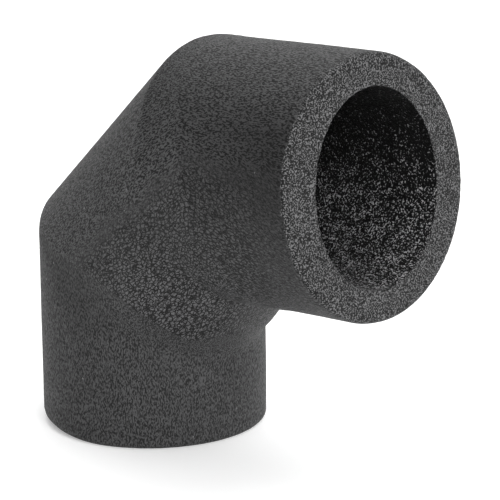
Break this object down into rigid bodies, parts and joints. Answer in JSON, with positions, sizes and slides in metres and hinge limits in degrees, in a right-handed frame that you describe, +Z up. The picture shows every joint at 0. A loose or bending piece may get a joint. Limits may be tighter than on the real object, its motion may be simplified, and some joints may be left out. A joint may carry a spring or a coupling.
{
  "type": "pipe insulation elbow",
  "caption": "Right-angle moulded black foam elbow that slips over a pipe bend to insulate it, with two mitred corners and an open round bore.",
  "frame": {"origin": "on the floor below the middle of the elbow's box", "axes": "+Z up along the standing leg, +X out along the level leg"},
  "size_m": [0.1106, 0.0642, 0.1026],
  "materials": {
    "foam": "matte, finely wrinkled skin with granular cut ends and bore"
  },
  "bodies": {
    "root": {"elbow": "foam"}
  },
  "joints": []
}
